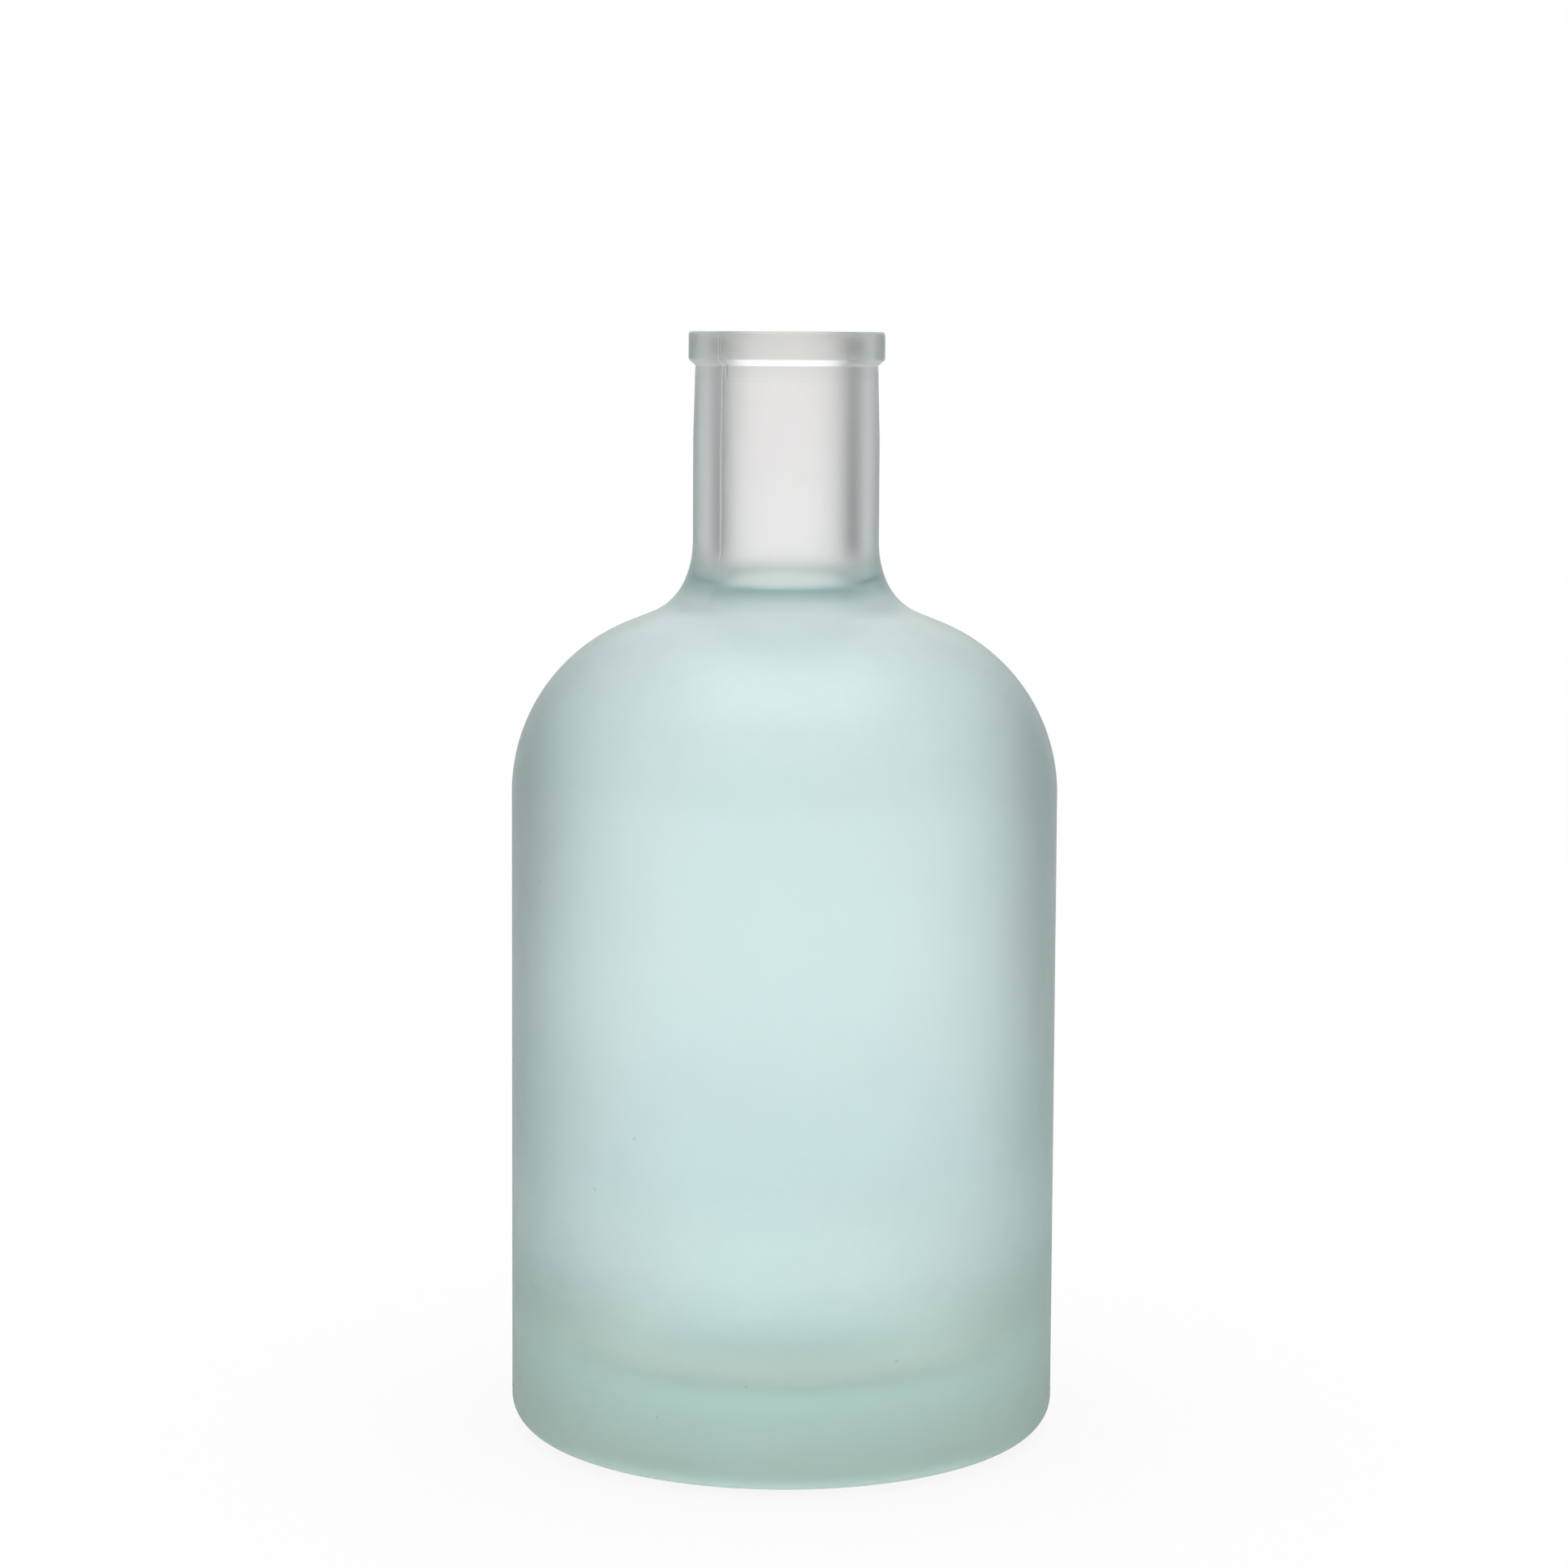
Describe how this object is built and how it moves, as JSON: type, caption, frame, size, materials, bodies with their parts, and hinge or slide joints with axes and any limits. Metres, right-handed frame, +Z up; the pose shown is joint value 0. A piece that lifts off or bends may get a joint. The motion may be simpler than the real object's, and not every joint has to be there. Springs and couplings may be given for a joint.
{
  "type": "frosted glass bottle",
  "caption": "Round-shouldered cylindrical bottle of frosted glass with a short straight neck, a square ring finish for a stopper, and pale liquid up to the foot of the neck.",
  "frame": {"origin": "centre of the base, on the surface that the bottle stands on", "axes": "+Z up along the bottle's axis, out of the mouth; the bottle is round, so +X and +Y are free, and the picture looks along +Y"},
  "size_m": [0.085, 0.085, 0.171],
  "materials": {
    "frosted_glass": "acid-frosted outside, smooth inside",
    "pale_aqua_liquid": "clear pale blue-green liquid"
  },
  "bodies": {
    "root": {"glass_bottle": "frosted_glass", "liquid": "pale_aqua_liquid"}
  },
  "joints": []
}
